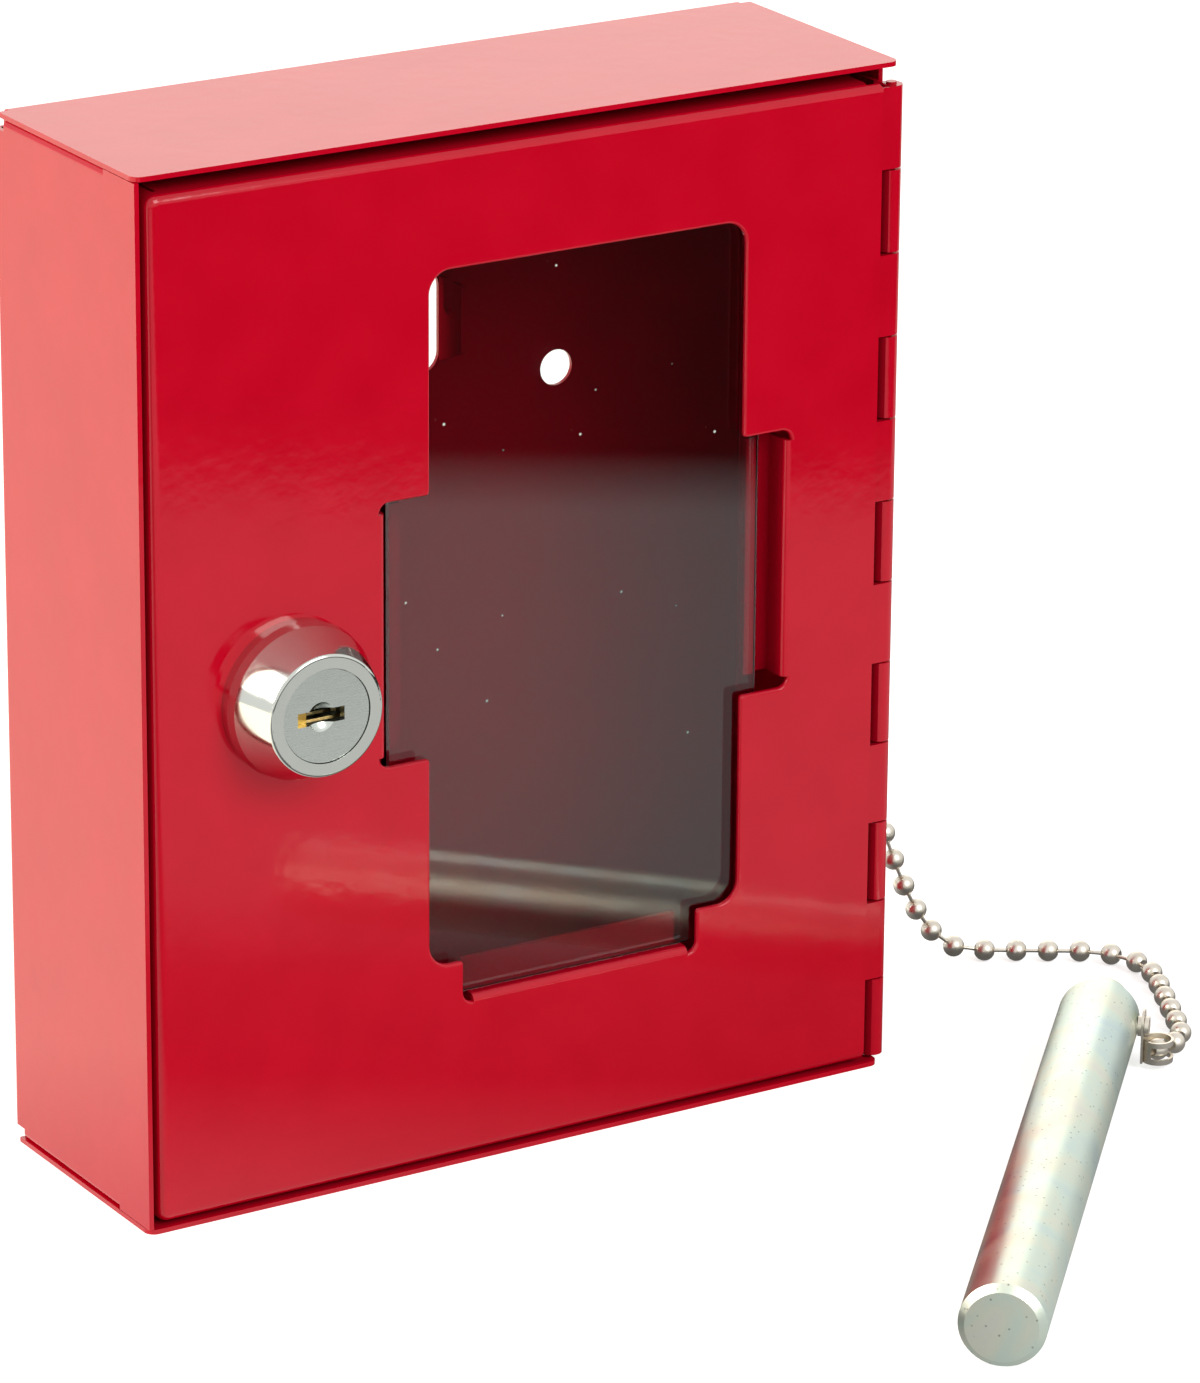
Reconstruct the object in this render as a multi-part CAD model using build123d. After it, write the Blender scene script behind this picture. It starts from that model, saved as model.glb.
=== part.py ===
from build123d import *
import math
import os

# Break glass key box, millimetres. +Z is up, +X is right as seen from the front, the door faces -Y.
# The origin is the middle of the underside of the sheet steel box.

# ---- driving dimensions -------------------------------------------------------------------------

# box body
BOX_WIDTH = 120.0
BOX_DEPTH = 40.0
BOX_HEIGHT = 150.0
SHEET = 0.7
INSIDE_BEND = 0.3
WALL_FLANGE = 8.0
FLANGE_GAP = 0.1
FLANGE_DOOR_GAP = 0.6
FLANGE_SETBACK_BACK = 3.0
CORNER_RELIEF = 1.6
PANEL_CORNER_RADIUS = 1.5

# wall screws and key hook in the back panel
SCREW_HOLE_RADIUS = 2.65
SCREW_HOLE_SPACING = 56.0
SCREW_HOLE_HEIGHT = 100.5
HOOK_SLOT_RIGHT = 8.6
HOOK_SLOT_WIDTH = 9.0
HOOK_SLOT_BOTTOM = 102.9
HOOK_SLOT_TOP = 118.4
HOOK_SLOT_RADIUS = 3.0
HOOK_REACH = 6.2
HOOK_RISE = 2.6
HOOK_NOTCH_WIDTH = 2.4
HOOK_NOTCH_DEPTH = 5.0
HOOK_NOTCH_BACK = 1.3
HOOK_TIP_RADIUS = 0.8

# door
DOOR_GAP_TOP = 2.0
DOOR_GAP_BOTTOM = 0.5
DOOR_GAP_LEFT = 0.95
DOOR_FLANGE = 8.0
DOOR_FLANGE_RIGHT_SETBACK = 2.4
DOOR_EDGE_RADIUS = 1.6
DOOR_CORNER_RADIUS = 1.8
DOOR_RIGHT_CORNER_RADIUS = 1.1
DOOR_CORNER_SLIT = 0.6

# window: its margins are measured to the outside of the box, its notches to its own edges
WINDOW_MARGIN_LEFT = 44.6
WINDOW_MARGIN_RIGHT = 24.8
WINDOW_MARGIN_BOTTOM = 30.3
WINDOW_MARGIN_TOP = 19.4
WINDOW_RADIUS = 3.3
WINDOW_ROLLED_EDGE = 0.4
NOTCH_CORNER_RADIUS = 1.6
NOTCH_MOUTH_RADIUS = 0.5
SIDE_NOTCH_DEPTH = 6.9
SIDE_NOTCH_FROM_BOTTOM = 30.9
SIDE_NOTCH_FROM_TOP = 31.3
BOTTOM_NOTCH_DEPTH = 5.3
BOTTOM_NOTCH_FROM_LEFT = 5.4
BOTTOM_NOTCH_FROM_RIGHT = 6.8

# glass and the bent hooks that hold it
GLASS_POCKET = 3.8
GLASS_HOOK_LIP = 4.2
GLASS_THICKNESS = 2.0
GLASS_FRONT_GAP = 0.6
GLASS_GAP_LEFT = 0.85
GLASS_GAP_RIGHT = 3.5
GLASS_OVERLAP_TOP = 7.5
GLASS_EDGE = 0.3

# piano hinge
KNUCKLE_COUNT = 12
KNUCKLE_GAP = 0.3
HINGE_BOTTOM = 1.1
HINGE_MARGIN_TOP = 3.6
HINGE_LEAF = 0.8
HINGE_PIN_RADIUS = 0.75
HINGE_PIN_CLEARANCE = 0.05
HINGE_PIN_END = 0.2
HINGE_WALL_GAP = 0.4
HINGE_LEAF_CLEARANCE = 0.1
HINGE_NECK = 1.0
BODY_LEAF_DEPTH = 15.0
DOOR_LEAF_WIDTH = 13.0
DOOR_LEAF_SETBACK = 0.4
HINGE_SWING_GAP = 1.2

# cam lock
LOCK_FROM_LEFT = 23.3
LOCK_BELOW_MIDDLE = 0.8
LOCK_RIM_RADIUS = 11.2
LOCK_RIM_THICKNESS = 1.5
LOCK_BAND_THICKNESS = 1.5
LOCK_BAND_TAPER = 0.3
LOCK_FACE_RADIUS = 8.1
LOCK_PROTRUSION = 9.0
LOCK_FACE_EDGE = 0.5
LOCK_BARREL_RADIUS = 8.0
LOCK_BARREL_FLATS = 14.0
LOCK_BARREL_LENGTH = 15.0
LOCK_HOLE_CLEARANCE = 0.15
LOCK_WASHER_RADIUS = 10.6
LOCK_WASHER_THICKNESS = 1.0
LOCK_WASHER_TEETH = 12
LOCK_NUT_ACROSS_FLATS = 20.0
LOCK_NUT_THICKNESS = 4.0
LOCK_NUT_ROUNDING = 0.35
THREAD_CLEARANCE = 0.06
PLUG_HEAD_RADIUS = 6.6
PLUG_HEAD_LENGTH = 2.4
PLUG_RADIUS = 5.5
PLUG_CLEARANCE = 0.1
PLUG_RECESS = 0.2
PLUG_SQUARE = 7.0
PLUG_TAIL_BEFORE_SCREW_WASHER = 0.4
KEYWAY_LENGTH = 7.2
KEYWAY_WIDTH = 2.0
KEYWAY_OFFSET = -0.8
KEYWAY_RECESS_RADIUS = 2.1
KEYWAY_RECESS_DEPTH = 1.0
KEYWAY_DEPTH = 19.0
WAFER_COUNT = 5
WAFER_THICKNESS = 1.0
WAFER_PITCH = 2.6
WAFER_FIRST = 1.3
WAFER_WIDTH = 5.6
WAFER_CLEARANCE = 0.1
WAFER_EAR_DEPTH = 1.3
WAFER_EAR_WIDTH = 1.2
WAFER_STEP = 2.0
WAFER_GROOVE = 0.7
SPRING_RADIUS = 0.45
SPRING_WIRE = 0.1
SPRING_LENGTH = 3.4
SPRING_TURNS = 6
STOP_WASHER_THICKNESS = 0.8
STOP_WASHER_RADIUS = 5.2
STOP_TAB_ANGLE = 40.0
STOP_TURN = 90.0
STOP_PLAY_ANGLE = 2.0
STOP_LUG_INNER_RADIUS = 5.8
STOP_TAB_GAP = 0.2
CAM_THICKNESS = 2.0
CAM_WALL_GAP = 1.2
CAM_HALF_WIDTH = 7.5
CAM_TIP_RADIUS = 2.5
CAM_SQUARE_CLEARANCE = 0.1
STACK_GAP = 0.05
SCREW_WASHER_THICKNESS = 0.8
SCREW_WASHER_RADIUS = 4.6
SCREW_RADIUS = 2.0
SCREW_LENGTH = 8.0
SCREW_END_GAP = 1.0
SCREW_HEAD_RADIUS = 3.8
SCREW_HEAD_HEIGHT = 2.4
SCREW_SLOT_WIDTH = 0.9
SCREW_SLOT_DEPTH = 1.1

# strike bracket on the left wall
STRIKE_THICKNESS = 1.0
STRIKE_HEIGHT = 26.0
STRIKE_ARM = 8.5
STRIKE_FOOT = 13.0
STRIKE_CAM_GAP = 0.4

# ball chain
BALL_RADIUS = 1.6
BALL_WALL = 0.3
BALL_HOLE_RADIUS = 0.75
BALL_PITCH = 4.75
LINK_RADIUS = 0.3
LINK_HEAD_RADIUS = 0.84
LINK_HEAD_THICKNESS = 0.25
LINK_HEAD_INSET = 0.6

# chain couplings: a strap rolled into a ring round the last ball, with a flat riveted tab
COUPLING_SHEET = 0.35
COUPLING_RING_RADIUS = 2.3
COUPLING_RING_HEIGHT = 3.4
COUPLING_TAB_WIDTH = 4.0
COUPLING_TAB_END = 2.6
COUPLING_EYE_DISTANCE = 3.4
COUPLING_SLOT_HEIGHT = 1.8
COUPLING_SLOT_FROM = -110.0
COUPLING_SLOT_TO = 85.0
EYE_CLEARANCE = 0.06
WALL_RIVET_RADIUS = 1.2
WALL_RIVET_HEAD_RADIUS = 1.6
WALL_RIVET_TAIL_RADIUS = 2.2
WALL_RIVET_HEAD = 0.9
WALL_RIVET_ROUNDING = 0.54
RIVET_FIT = 0.05
WALL_COUPLING_GAP = 0.1
WALL_BALL_Y = 9.0
WALL_BALL_Z = 92.0

# hammer
HAMMER_RADIUS = 6.0
HAMMER_BODY_LENGTH = 110.0
HAMMER_FACE_CHAMFER = 1.0
HAMMER_NUB_RADIUS = 3.7
HAMMER_NUB_LENGTH = 4.6
HAMMER_NUB_EDGE = 0.4
HAMMER_FACE_X = 15.7
HAMMER_FACE_Y = -115.1
HAMMER_ANGLE = 47.96
PIN_FROM_SHOULDER = 2.2
PIN_RADIUS = 0.9
PIN_BOSS_RADIUS = 1.5
PIN_BOSS_LENGTH = 0.6
PIN_HEAD_RADIUS = 1.5
PIN_HEAD = 0.6
PIN_DEPTH = 4.0

# ---- helpers ------------------------------------------------------------------------------------

# how close two points count as one, and how far a cutting piece runs past what it cuts
SAME_PLACE = 0.01
CUT_PAST = 1.0


def block(x0, x1, y0, y1, z0, z1):
    """A box between two corners."""
    size = Box(x1 - x0, y1 - y0, z1 - z0)
    return Pos((x0 + x1) / 2, (y0 + y1) / 2, (z0 + z1) / 2) * size


def along_y(radius, y0, y1, x=0.0, z=0.0):
    """A round bar along Y."""
    bar = Cylinder(radius, y1 - y0)
    return Pos(x, (y0 + y1) / 2, z) * Rot(90, 0, 0) * bar


def upright(radius, z0, z1, x=0.0, y=0.0):
    """A round bar along Z."""
    return Pos(x, y, (z0 + z1) / 2) * Cylinder(radius, z1 - z0)


def bent_strip(path, thickness):
    """The section of a bent sheet: the path is its middle line, with bends of INSIDE_BEND."""
    half = thickness / 2
    ways = []
    for (ax, ay), (bx, by) in zip(path[:-1], path[1:]):
        length = math.hypot(bx - ax, by - ay)
        ways.append(((bx - ax) / length, (by - ay) / length))
    left, right = [], []
    for i, (px, py) in enumerate(path):
        before = ways[max(i - 1, 0)]
        after = ways[min(i, len(ways) - 1)]
        nx, ny = -(before[1] + after[1]), before[0] + after[0]
        scale = half * 2 / (nx * nx + ny * ny)
        left.append((px + nx * scale, py + ny * scale))
        right.append((px - nx * scale, py - ny * scale))
    face = make_face(Polyline(*left, *reversed(right), close=True))
    for i in range(1, len(path) - 1):
        turn = ways[i - 1][0] * ways[i][1] - ways[i - 1][1] * ways[i][0]
        inner, outer = (left[i], right[i]) if turn > 0 else (right[i], left[i])
        for corner, radius in ((inner, INSIDE_BEND), (outer, INSIDE_BEND + thickness)):
            nearest = face.vertices().sort_by_distance(Vector(corner[0], corner[1], 0))[0]
            face = fillet(nearest, radius)
    return face


def raised(face, z0, z1):
    """A section drawn in XY, extruded from z0 to z1."""
    return Pos(0, 0, z0) * extrude(face, z1 - z0)


def rectangle(x0, x1, y0, y1):
    """A rectangle between two corners, drawn in XY."""
    return Pos((x0 + x1) / 2, (y0 + y1) / 2) * Rectangle(x1 - x0, y1 - y0)


def points_at(face, xs, ys):
    """The corners of a section that lie at one of the xs and one of the ys."""
    found = []
    for corner in face.vertices():
        at_x = any(abs(corner.X - x) < SAME_PLACE for x in xs)
        at_y = any(abs(corner.Y - y) < SAME_PLACE for y in ys)
        if at_x and at_y:
            found.append(corner)
    return found


def section_yz(face, x0, x1):
    """A section drawn in XY whose X is the object's Y and Y the object's Z, extruded from x0 to x1."""
    return Plane((x0, 0, 0), x_dir=(0, 1, 0), z_dir=(1, 0, 0)) * extrude(face, x1 - x0)


def section_xz(face, y0, y1):
    """A section drawn in XY whose X is the object's X and Y the object's Z, extruded from y0 to y1."""
    return Plane((0, y1, 0), x_dir=(1, 0, 0), z_dir=(0, -1, 0)) * extrude(face, y1 - y0)


def ring_sector(inner, outer, start, end):
    """A flat piece of a ring between two angles in degrees."""
    steps = 24
    reach = 2 * outer
    wedge = [(0.0, 0.0)]
    for i in range(steps + 1):
        angle = math.radians(start + (end - start) * i / steps)
        wedge.append((reach * math.cos(angle), reach * math.sin(angle)))
    return (Circle(outer) - Circle(inner)) & make_face(Polyline(*wedge, close=True))


# ---- places worked out from the dimensions ------------------------------------------------------

SIDE = BOX_WIDTH / 2
FRONT = -BOX_DEPTH / 2
BACK = BOX_DEPTH / 2
INNER_SIDE = SIDE - SHEET
INNER_BACK = BACK - SHEET
OUTSIDE_BEND = INSIDE_BEND + SHEET

WALL_LOW = SHEET + FLANGE_GAP
WALL_HIGH = BOX_HEIGHT - WALL_LOW

DOOR_INSIDE = FRONT + SHEET
DOOR_FLANGE_BACK = FRONT + DOOR_FLANGE

# The barrels of the hinge touch the plane of the door's inside and the inside of its own leaf.
KNUCKLE_BORE = HINGE_PIN_RADIUS + HINGE_PIN_CLEARANCE
KNUCKLE_RADIUS = KNUCKLE_BORE + HINGE_LEAF
HINGE_X = INNER_SIDE - HINGE_LEAF + KNUCKLE_RADIUS
HINGE_Y = DOOR_INSIDE + KNUCKLE_RADIUS
HINGE_TOP = BOX_HEIGHT - HINGE_MARGIN_TOP
RIGHT_WALL_FRONT = HINGE_Y + KNUCKLE_RADIUS + HINGE_WALL_GAP

DOOR_LEFT = -INNER_SIDE + DOOR_GAP_LEFT
DOOR_RIGHT = HINGE_X - KNUCKLE_RADIUS - HINGE_SWING_GAP
DOOR_BOTTOM = SHEET + DOOR_GAP_BOTTOM
DOOR_TOP = BOX_HEIGHT - SHEET - DOOR_GAP_TOP

WINDOW_LEFT = -SIDE + WINDOW_MARGIN_LEFT
WINDOW_RIGHT = SIDE - WINDOW_MARGIN_RIGHT
WINDOW_BOTTOM = WINDOW_MARGIN_BOTTOM
WINDOW_TOP = BOX_HEIGHT - WINDOW_MARGIN_TOP
NOTCH_LEFT = WINDOW_LEFT - SIDE_NOTCH_DEPTH
NOTCH_RIGHT = WINDOW_RIGHT + SIDE_NOTCH_DEPTH
SIDE_NOTCH_LOW = WINDOW_BOTTOM + SIDE_NOTCH_FROM_BOTTOM
SIDE_NOTCH_HIGH = WINDOW_TOP - SIDE_NOTCH_FROM_TOP
NOTCH_BOTTOM = WINDOW_BOTTOM - BOTTOM_NOTCH_DEPTH
BOTTOM_NOTCH_LEFT = WINDOW_LEFT + BOTTOM_NOTCH_FROM_LEFT
BOTTOM_NOTCH_RIGHT = WINDOW_RIGHT - BOTTOM_NOTCH_FROM_RIGHT
GLASS_HOOK_Y = DOOR_INSIDE + GLASS_POCKET

LOCK_X = -SIDE + LOCK_FROM_LEFT
LOCK_Z = BOX_HEIGHT / 2 - LOCK_BELOW_MIDDLE
CAM_LENGTH = LOCK_X + INNER_SIDE - STRIKE_THICKNESS - CAM_WALL_GAP

# Angles are measured from +X towards +Z. Locking turns the cam from straight up towards -X, and the
# tab of the stop washer from +X to straight up; the lug of the housing fills the rest of the ring.
FULL_TURN = 360.0
STOP_TAB_MIDDLE = 0.0
STOP_LUG_MIDDLE = STOP_TAB_MIDDLE + STOP_TURN / 2 + FULL_TURN / 2

LOCK_FACE_Y = FRONT - LOCK_PROTRUSION
LOCK_BACK_Y = FRONT + LOCK_BARREL_LENGTH
STOP_WASHER_Y = LOCK_BACK_Y + STACK_GAP
CAM_Y = STOP_WASHER_Y + STOP_WASHER_THICKNESS + STACK_GAP
SCREW_WASHER_Y = CAM_Y + CAM_THICKNESS + STACK_GAP
SCREW_HEAD_Y = SCREW_WASHER_Y + SCREW_WASHER_THICKNESS

HAMMER_WAY = (math.cos(math.radians(HAMMER_ANGLE)), math.sin(math.radians(HAMMER_ANGLE)))
HAMMER_SIDE = (HAMMER_WAY[1], -HAMMER_WAY[0])
PIN_FROM_FACE = HAMMER_BODY_LENGTH - PIN_FROM_SHOULDER
PIN_X = HAMMER_FACE_X + HAMMER_WAY[0] * PIN_FROM_FACE
PIN_Y = HAMMER_FACE_Y + HAMMER_WAY[1] * PIN_FROM_FACE
COUPLING_OFFSET = HAMMER_RADIUS + PIN_BOSS_LENGTH + COUPLING_RING_RADIUS
HAMMER_BALL_X = PIN_X + HAMMER_SIDE[0] * COUPLING_OFFSET
HAMMER_BALL_Y = PIN_Y + HAMMER_SIDE[1] * COUPLING_OFFSET
HAMMER_BALL_Z = HAMMER_RADIUS - COUPLING_EYE_DISTANCE

WALL_BALL_X = SIDE + WALL_COUPLING_GAP + COUPLING_RING_RADIUS
WALL_RIVET_Y = WALL_BALL_Y - COUPLING_EYE_DISTANCE

# The chain hangs from the ball on the wall, meets the table, runs out across it and turns into the
# coupling on the hammer. The points are the corners of its route; arcs round them off.
CHAIN_ROUTE = [
    (WALL_BALL_X, WALL_BALL_Y, WALL_BALL_Z),
    (65.2, 9.1, 78.0),
    (71.2, 9.4, 52.0),
    (78.8, 9.7, 26.0),
    (84.8, 9.0, 10.0),
    (91.6, 8.8, 1.7),
    (98.3, 4.7, BALL_RADIUS),
    (116.7, -6.8, BALL_RADIUS),
    (106.2, -28.4, BALL_RADIUS),
    (100.9, -39.4, 1.75),
    (HAMMER_BALL_X, HAMMER_BALL_Y, HAMMER_BALL_Z),
]

# ---- box ----------------------------------------------------------------------------------------


def box_shell():
    """The body: back, four walls and the flanges that tuck the side walls under top and bottom."""
    around = Rectangle(BOX_WIDTH, BOX_DEPTH)
    around -= rectangle(-INNER_SIDE, INNER_SIDE, FRONT - CUT_PAST, INNER_BACK)
    around = fillet(points_at(around, (-SIDE, SIDE), (BACK,)), OUTSIDE_BEND)
    around = fillet(points_at(around, (-INNER_SIDE, INNER_SIDE), (INNER_BACK,)), INSIDE_BEND)
    shell = raised(around, WALL_LOW + CORNER_RELIEF, WALL_HIGH - CORNER_RELIEF)

    ceiling = BOX_HEIGHT - SHEET
    over = rectangle(FRONT, BACK, 0, BOX_HEIGHT)
    over -= rectangle(FRONT - CUT_PAST, INNER_BACK, SHEET, ceiling)
    over = fillet(points_at(over, (BACK,), (0, BOX_HEIGHT)), OUTSIDE_BEND)
    over = fillet(points_at(over, (INNER_BACK,), (SHEET, ceiling)), INSIDE_BEND)
    half = SIDE - CORNER_RELIEF
    shell += section_yz(over, -half, half)
    panel = rectangle(-SIDE, SIDE, FRONT, BACK - CORNER_RELIEF)
    panel = fillet(points_at(panel, (-SIDE, SIDE), (FRONT,)), PANEL_CORNER_RADIUS)
    shell += raised(panel, 0, SHEET)
    shell += raised(panel, ceiling, BOX_HEIGHT)

    middle = SIDE - SHEET / 2
    flange_end = SIDE - WALL_FLANGE
    low, high = WALL_LOW + SHEET / 2, WALL_HIGH - SHEET / 2
    wall = bent_strip([(-flange_end, low), (-middle, low), (-middle, high), (-flange_end, high)], SHEET)
    back_end = BACK - FLANGE_SETBACK_BACK
    flange_front = DOOR_FLANGE_BACK + FLANGE_DOOR_GAP
    left_wall = section_xz(wall, flange_front, back_end)
    left_wall += block(-SIDE, -INNER_SIDE, FRONT, flange_front, WALL_LOW, WALL_HIGH)
    shell += left_wall
    shell += mirror(left_wall, Plane.YZ)
    shell -= block(
        INNER_SIDE - CUT_PAST, SIDE + CUT_PAST, FRONT - CUT_PAST, RIGHT_WALL_FRONT, WALL_LOW, WALL_HIGH
    )

    for x in (-SCREW_HOLE_SPACING / 2, SCREW_HOLE_SPACING / 2):
        shell -= along_y(SCREW_HOLE_RADIUS, INNER_BACK - CUT_PAST, BACK + CUT_PAST, x, SCREW_HOLE_HEIGHT)
    slot = rectangle(HOOK_SLOT_RIGHT - HOOK_SLOT_WIDTH, HOOK_SLOT_RIGHT, HOOK_SLOT_BOTTOM, HOOK_SLOT_TOP)
    slot = fillet(slot.vertices(), HOOK_SLOT_RADIUS)
    shell -= section_xz(slot, INNER_BACK - CUT_PAST, BACK + CUT_PAST)
    shell += key_hook()
    rivet_hole = upright(WALL_RIVET_RADIUS + RIVET_FIT, INNER_SIDE - CUT_PAST, SIDE + CUT_PAST)
    return shell - at_wall_rivet(rivet_hole)


def key_hook():
    """An ear cut out of the back panel and bent forward, notched from above to hold a key ring."""
    low = HOOK_SLOT_BOTTOM + HOOK_SLOT_RADIUS / 2
    high = HOOK_SLOT_TOP - HOOK_SLOT_RADIUS / 2
    tip = INNER_BACK - HOOK_REACH
    underside = [(BACK, low), (INNER_BACK, low), (tip, low + HOOK_RISE)]
    ear = make_face(Polyline(*underside, (tip, high), (BACK, high), close=True))
    ear = fillet(points_at(ear, (tip,), (low + HOOK_RISE, high)), HOOK_TIP_RADIUS)
    notch_back = INNER_BACK - HOOK_NOTCH_BACK
    floor = high - HOOK_NOTCH_DEPTH + HOOK_NOTCH_WIDTH / 2
    ear -= rectangle(notch_back - HOOK_NOTCH_WIDTH, notch_back, floor, high + CUT_PAST)
    ear -= Pos(notch_back - HOOK_NOTCH_WIDTH / 2, floor) * Circle(HOOK_NOTCH_WIDTH / 2)
    return section_yz(ear, HOOK_SLOT_RIGHT, HOOK_SLOT_RIGHT + SHEET)


def strike_bracket():
    """An angle spot-welded inside the left wall; the cam turns in behind its arm."""
    arm_back = CAM_Y - STRIKE_CAM_GAP
    arm = arm_back - STRIKE_THICKNESS / 2
    foot = -INNER_SIDE + STRIKE_THICKNESS / 2
    path = [(-INNER_SIDE + STRIKE_ARM, arm), (foot, arm), (foot, arm_back + STRIKE_FOOT)]
    section = bent_strip(path, STRIKE_THICKNESS)
    return raised(section, LOCK_Z - STRIKE_HEIGHT / 2, LOCK_Z + STRIKE_HEIGHT / 2)


# ---- hinge --------------------------------------------------------------------------------------


def knuckle_spans(first):
    """Bottom and top of every second knuckle, counted from the bottom."""
    pitch = (HINGE_TOP - HINGE_BOTTOM) / KNUCKLE_COUNT
    spans = []
    for i in range(first, KNUCKLE_COUNT, 2):
        base = HINGE_BOTTOM + i * pitch
        spans.append((base + KNUCKLE_GAP / 2, base + pitch - KNUCKLE_GAP / 2))
    return spans


def knuckles(neck, spans):
    """The rolled barrels of one leaf, each with the stretch of leaf that it is rolled from."""
    barrel = Circle(KNUCKLE_RADIUS) - Circle(KNUCKLE_BORE)
    section = Pos(HINGE_X, HINGE_Y) * barrel + neck
    return [raised(section, low, high) for low, high in spans]


def body_hinge_leaf():
    """The leaf that is welded inside the right wall."""
    inner = INNER_SIDE - HINGE_LEAF
    above_flange = WALL_LOW + OUTSIDE_BEND + HINGE_LEAF_CLEARANCE
    leaf = block(inner, INNER_SIDE, RIGHT_WALL_FRONT, HINGE_Y + BODY_LEAF_DEPTH, above_flange, HINGE_TOP)
    neck = rectangle(inner, INNER_SIDE, HINGE_Y, RIGHT_WALL_FRONT + HINGE_NECK)
    for knuckle in knuckles(neck, knuckle_spans(0)):
        leaf += knuckle
    return leaf


def door_hinge_leaf():
    """The leaf that is welded to the inside of the door."""
    right = DOOR_RIGHT - DOOR_LEAF_SETBACK
    back = DOOR_INSIDE + HINGE_LEAF
    low = DOOR_BOTTOM + OUTSIDE_BEND + DOOR_EDGE_RADIUS / 2
    high = DOOR_TOP - OUTSIDE_BEND - DOOR_EDGE_RADIUS / 2
    leaf = block(right - DOOR_LEAF_WIDTH, right, DOOR_INSIDE, back, low, high)
    neck = rectangle(right - HINGE_NECK, HINGE_X, DOOR_INSIDE, back)
    for knuckle in knuckles(neck, knuckle_spans(1)):
        leaf += knuckle
    return leaf


def hinge_pin():
    """The wire pin through all the knuckles."""
    low, high = HINGE_BOTTOM - HINGE_PIN_END, HINGE_TOP + HINGE_PIN_END
    return upright(HINGE_PIN_RADIUS, low, high, HINGE_X, HINGE_Y)


# ---- door and glass -----------------------------------------------------------------------------


def tray(left, right, front, back, low, high, edge_radius, corner_radius):
    """A block whose front edges are rounded on the left, top and bottom, as a folded door is."""
    solid = block(left, right, front, back, low, high)
    corners = solid.edges().filter_by(Axis.Y).filter_by(lambda e: e.center().X < left + SAME_PLACE)
    solid = fillet(corners, corner_radius)
    rim = solid.faces().sort_by(Axis.Y)[0].edges()
    rim = rim.filter_by(lambda e: e.center().X < right - SAME_PLACE)
    return fillet(rim, edge_radius)


def window_outline():
    """The opening for the glass with its three stepped notches, out to where their hooks bend."""
    main = rectangle(WINDOW_LEFT, WINDOW_RIGHT, WINDOW_BOTTOM, WINDOW_TOP)
    main = fillet(main.vertices(), WINDOW_RADIUS)
    far_left, far_right = NOTCH_LEFT - OUTSIDE_BEND, NOTCH_RIGHT + OUTSIDE_BEND
    sides = rectangle(far_left, far_right, SIDE_NOTCH_LOW, SIDE_NOTCH_HIGH)
    sides = fillet(sides.vertices(), NOTCH_CORNER_RADIUS)
    far_low = NOTCH_BOTTOM - OUTSIDE_BEND
    bottom = rectangle(BOTTOM_NOTCH_LEFT, BOTTOM_NOTCH_RIGHT, far_low, (WINDOW_BOTTOM + WINDOW_TOP) / 2)
    low_corners = points_at(bottom, (BOTTOM_NOTCH_LEFT, BOTTOM_NOTCH_RIGHT), (far_low,))
    bottom = fillet(low_corners, NOTCH_CORNER_RADIUS)
    outline = main + sides + bottom
    mouths = points_at(outline, (WINDOW_LEFT, WINDOW_RIGHT), (SIDE_NOTCH_LOW, SIDE_NOTCH_HIGH))
    mouths += points_at(outline, (BOTTOM_NOTCH_LEFT, BOTTOM_NOTCH_RIGHT), (WINDOW_BOTTOM,))
    return fillet(mouths, NOTCH_MOUTH_RADIUS)


def glass_hook():
    """Section of a hook: the door sheet turns back, then in behind the glass. X runs to the window."""
    root = FRONT + SHEET / 2
    lip = GLASS_HOOK_Y + SHEET / 2
    wall = -SHEET / 2
    path = [(-OUTSIDE_BEND - SHEET, root), (wall, root), (wall, lip), (GLASS_HOOK_LIP, lip)]
    return bent_strip(path, SHEET)


def folded_door():
    """The door's tray: a sheet with a flange at the left, the top and the bottom."""
    door = tray(
        DOOR_LEFT, DOOR_RIGHT, FRONT, DOOR_FLANGE_BACK, DOOR_BOTTOM, DOOR_TOP,
        DOOR_EDGE_RADIUS, DOOR_CORNER_RADIUS,
    )
    past_back = DOOR_FLANGE_BACK + CUT_PAST
    door -= tray(
        DOOR_LEFT + SHEET, DOOR_RIGHT + CUT_PAST, DOOR_INSIDE, past_back,
        DOOR_BOTTOM + SHEET, DOOR_TOP - SHEET, DOOR_EDGE_RADIUS - SHEET, DOOR_CORNER_RADIUS - SHEET,
    )
    flange_end = DOOR_RIGHT - DOOR_FLANGE_RIGHT_SETBACK
    door -= block(flange_end, DOOR_RIGHT + CUT_PAST, DOOR_INSIDE, past_back, 0, BOX_HEIGHT)
    sheet = rectangle(DOOR_LEFT, DOOR_RIGHT, DOOR_BOTTOM, DOOR_TOP)
    right_corners = points_at(sheet, (DOOR_RIGHT,), (DOOR_BOTTOM, DOOR_TOP))
    door &= section_xz(fillet(right_corners, DOOR_RIGHT_CORNER_RADIUS), FRONT, DOOR_FLANGE_BACK)
    slit = DOOR_LEFT + DOOR_CORNER_RADIUS
    slit_front = FRONT + DOOR_EDGE_RADIUS
    for z in (DOOR_BOTTOM, DOOR_TOP):
        low, high = z - DOOR_CORNER_RADIUS, z + DOOR_CORNER_RADIUS
        door -= block(slit, slit + DOOR_CORNER_SLIT, slit_front, past_back, low, high)
    return door


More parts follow.
